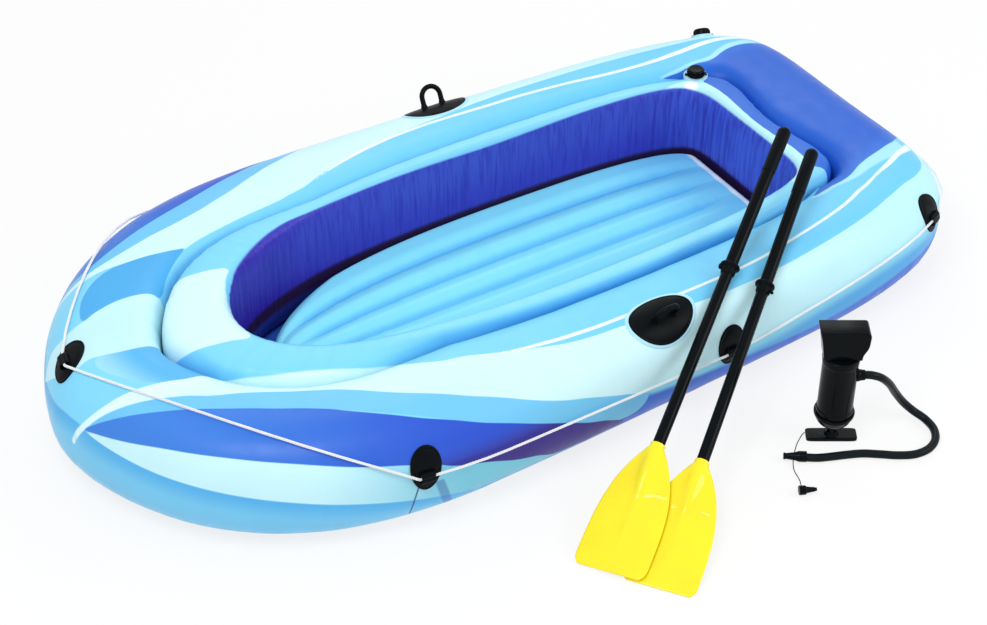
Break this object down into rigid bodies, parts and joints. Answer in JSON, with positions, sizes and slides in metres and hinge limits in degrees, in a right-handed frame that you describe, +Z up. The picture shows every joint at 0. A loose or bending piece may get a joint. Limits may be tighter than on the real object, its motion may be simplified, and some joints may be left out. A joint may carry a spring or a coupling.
{
  "type": "inflatable boat",
  "caption": "Small inflatable boat with a round bow and square stern, cushion floor, grab rope and oarlocks, with two sectional oars and a hand pump with its hose.",
  "frame": {"origin": "middle of the flat underside, level with the ground that the oars' blades and the pump stand on", "axes": "+X along the hull towards the square stern, +Z up, -Y towards the side that the oars lean on and the pump stands at"},
  "size_m": [1.8811, 1.365, 0.4002],
  "materials": {
    "printed_vinyl": "printed vinyl film, satin",
    "wall_vinyl": "vinyl film, satin",
    "floor_vinyl": "vinyl film, satin",
    "sheet_vinyl": "vinyl film, satin",
    "black_vinyl": "moulded soft vinyl",
    "black_plastic": "moulded plastic, glossy",
    "black_hose": "soft hose",
    "yellow_plastic": "moulded plastic, glossy",
    "white_rope": "braided cord",
    "seal_rubber": "matte"
  },
  "bodies": {
    "boat": {"outer_chamber": "printed_vinyl", "inner_chamber": "wall_vinyl", "floor_cushion": "floor_vinyl", "bottom_sheet": "sheet_vinyl", "grab_rope": "white_rope", "rope_holder_bow": "black_vinyl", "rope_holder_fore_near": "black_vinyl", "rope_holder_fore_far": "black_vinyl", "rope_holder_aft_near": "black_vinyl", "rope_holder_aft_far": "black_vinyl", "rope_holder_stern_near": "black_vinyl", "rope_holder_stern_far": "black_vinyl", "oarlock_near": "black_vinyl", "oarlock_far": "black_vinyl", "valve_base_outer": "black_plastic", "valve_base_inner": "black_plastic", "valve_base_floor": "black_plastic"},
    "plug_outer": {"valve_plug_outer": "black_plastic"},
    "plug_inner": {"valve_plug_inner": "black_plastic"},
    "plug_floor": {"valve_plug_floor": "black_plastic"},
    "cap_outer": {"valve_cap_outer": "black_plastic"},
    "cap_inner": {"valve_cap_inner": "black_plastic"},
    "cap_floor": {"valve_cap_floor": "black_plastic"},
    "aft_oar": {"aft_oar_blade": "yellow_plastic", "aft_oar_lower_shaft": "black_plastic", "aft_oar_collar": "black_vinyl"},
    "aft_oar_top": {"aft_oar_upper_shaft": "black_plastic", "aft_oar_grip": "black_vinyl"},
    "fore_oar": {"fore_oar_blade": "yellow_plastic", "fore_oar_lower_shaft": "black_plastic", "fore_oar_collar": "black_vinyl"},
    "fore_oar_top": {"fore_oar_upper_shaft": "black_plastic", "fore_oar_grip": "black_vinyl"},
    "pump": {"pump_foot": "black_plastic", "pump_base": "black_plastic", "pump_barrel": "black_plastic", "pump_cap": "black_plastic", "hose_port": "black_plastic", "pump_hose": "black_hose", "hose_nozzle": "black_plastic", "valve_adapter": "black_plastic", "adapter_tether": "black_vinyl"},
    "pump_plunger": {"pump_handle": "black_plastic", "pump_rod": "black_plastic", "pump_piston": "black_plastic", "piston_seal": "seal_rubber"}
  },
  "joints": [
    {"name": "plug_outer_twist", "type": "hinge", "parent": "boat", "child": "plug_outer", "pos_m": [0.79404, 0.36893, 0.21646], "axis": [0.2491, 0.6222, 0.7422], "range_deg": [0, 270]},
    {"name": "plug_inner_twist", "type": "hinge", "parent": "boat", "child": "plug_inner", "pos_m": [0.66238, 0.21611, 0.2403], "axis": [0, 0, 1], "range_deg": [0, 270]},
    {"name": "plug_floor_twist", "type": "hinge", "parent": "boat", "child": "plug_floor", "pos_m": [0.5, -0.10708, 0.07501], "axis": [0, 0, 1], "range_deg": [0, 270]},
    {"name": "cap_outer_flip", "type": "hinge", "parent": "boat", "child": "cap_outer", "pos_m": [0.81631, 0.36269, 0.21921], "axis": [0.2759, 0.689, -0.6702], "range_deg": [0, 100]},
    {"name": "cap_inner_flip", "type": "hinge", "parent": "boat", "child": "cap_inner", "pos_m": [0.68283, 0.2056, 0.244], "axis": [0.4571, 0.8894, 0], "range_deg": [0, 100]},
    {"name": "cap_floor_flip", "type": "hinge", "parent": "boat", "child": "cap_floor", "pos_m": [0.477, -0.10708, 0.07871], "axis": [0, -1, 0], "range_deg": [0, 100]},
    {"name": "aft_oar_slide", "type": "slide", "parent": "boat", "child": "aft_oar", "axis": [0.5948, -0.8039, 0], "range_m": [0, 0.12]},
    {"name": "fore_oar_lift", "type": "slide", "parent": "boat", "child": "fore_oar", "axis": [0, 0, 1], "range_m": [0, 0.3]},
    {"name": "aft_oar_pull_apart", "type": "slide", "parent": "aft_oar", "child": "aft_oar_top", "axis": [0.7558, 0.5593, 0.3405], "range_m": [0, 0.08]},
    {"name": "fore_oar_pull_apart", "type": "slide", "parent": "fore_oar", "child": "fore_oar_top", "axis": [0.7645, 0.5176, 0.3841], "range_m": [0, 0.08]},
    {"name": "pump_lift", "type": "slide", "parent": "boat", "child": "pump", "axis": [0, 0, 1], "range_m": [0, 0.3]},
    {"name": "pump_stroke", "type": "slide", "parent": "pump", "child": "pump_plunger", "axis": [0, 0, 1], "range_m": [0, 0.1]}
  ]
}
